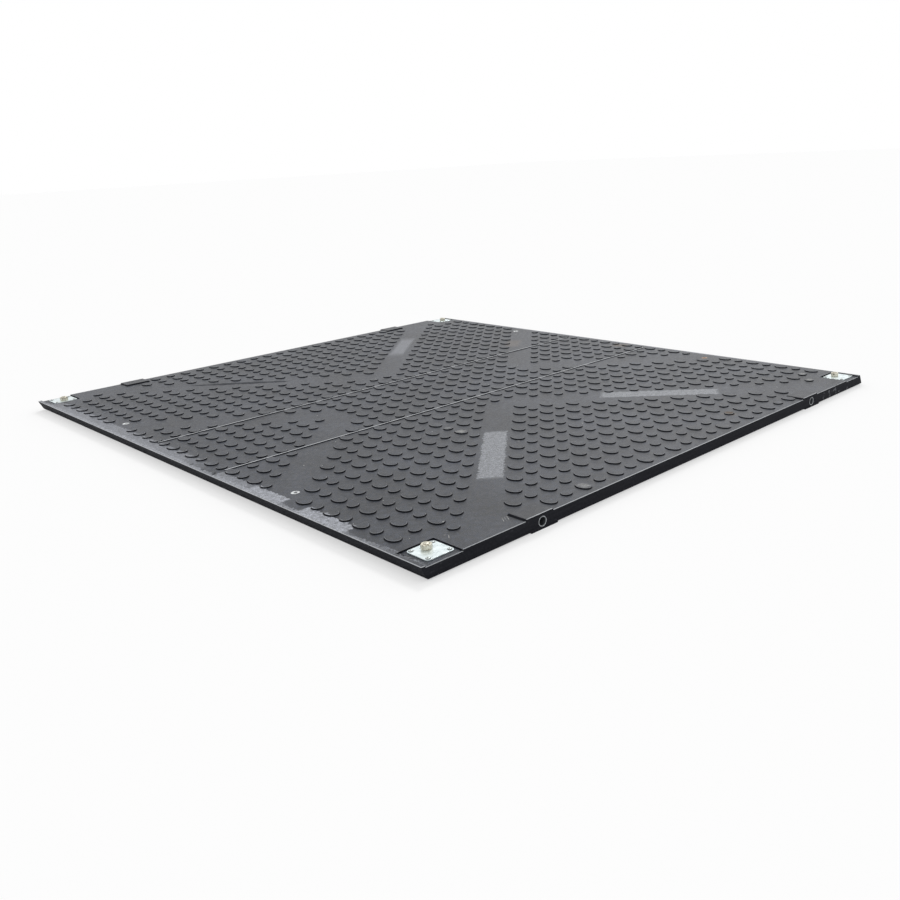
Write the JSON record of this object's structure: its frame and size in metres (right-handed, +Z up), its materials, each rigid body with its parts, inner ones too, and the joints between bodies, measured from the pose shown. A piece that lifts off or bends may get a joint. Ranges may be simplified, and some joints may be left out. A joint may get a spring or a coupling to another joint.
{
  "type": "ground protection mat",
  "caption": "Large heavy moulded plastic ground mat with a chevron tread of oval and round studs, lapped long edges, steel corner plates with joining bolts and steel-lined lifting holes.",
  "frame": {"origin": "middle of the mat's plan at the level of the ground under the four lifting pads", "axes": "+Z up, +Y along the 3 m length, +X across the width; the near left corner of the names is at -X and -Y"},
  "size_m": [2.54, 3, 0.064],
  "materials": {
    "mat_plastic": "matt, scuffed black recycled polyethylene",
    "zinc_plate": "bright zinc-plated steel, slightly dulled",
    "screw_steel": "plated steel with dirt in the drive",
    "bolt_zinc": "yellowish zinc-plated steel",
    "sleeve_steel": "bare steel tube with a worn rim",
    "ring_steel": "dull plated steel"
  },
  "bodies": {
    "root": {"mat_panel": "mat_plastic", "corner_plate_near_left": "zinc_plate", "corner_plate_near_right": "zinc_plate", "corner_plate_far_left": "zinc_plate", "corner_plate_far_right": "zinc_plate", "plate_screws_near_left": "screw_steel", "plate_screws_near_right": "screw_steel", "plate_screws_far_left": "screw_steel", "plate_screws_far_right": "screw_steel", "joining_bolt_near_left": "bolt_zinc", "joining_bolt_near_right": "bolt_zinc", "joining_bolt_far_left": "bolt_zinc", "joining_bolt_far_right": "bolt_zinc", "joining_nut_near_left": "bolt_zinc", "joining_nut_near_right": "bolt_zinc", "joining_nut_far_left": "bolt_zinc", "joining_nut_far_right": "bolt_zinc", "lifting_sleeves_near": "sleeve_steel", "lifting_sleeves_far": "sleeve_steel", "ring_insert_near_left": "ring_steel", "ring_insert_near_right": "ring_steel", "ring_insert_far_left": "ring_steel", "ring_insert_far_right": "ring_steel"}
  },
  "joints": []
}
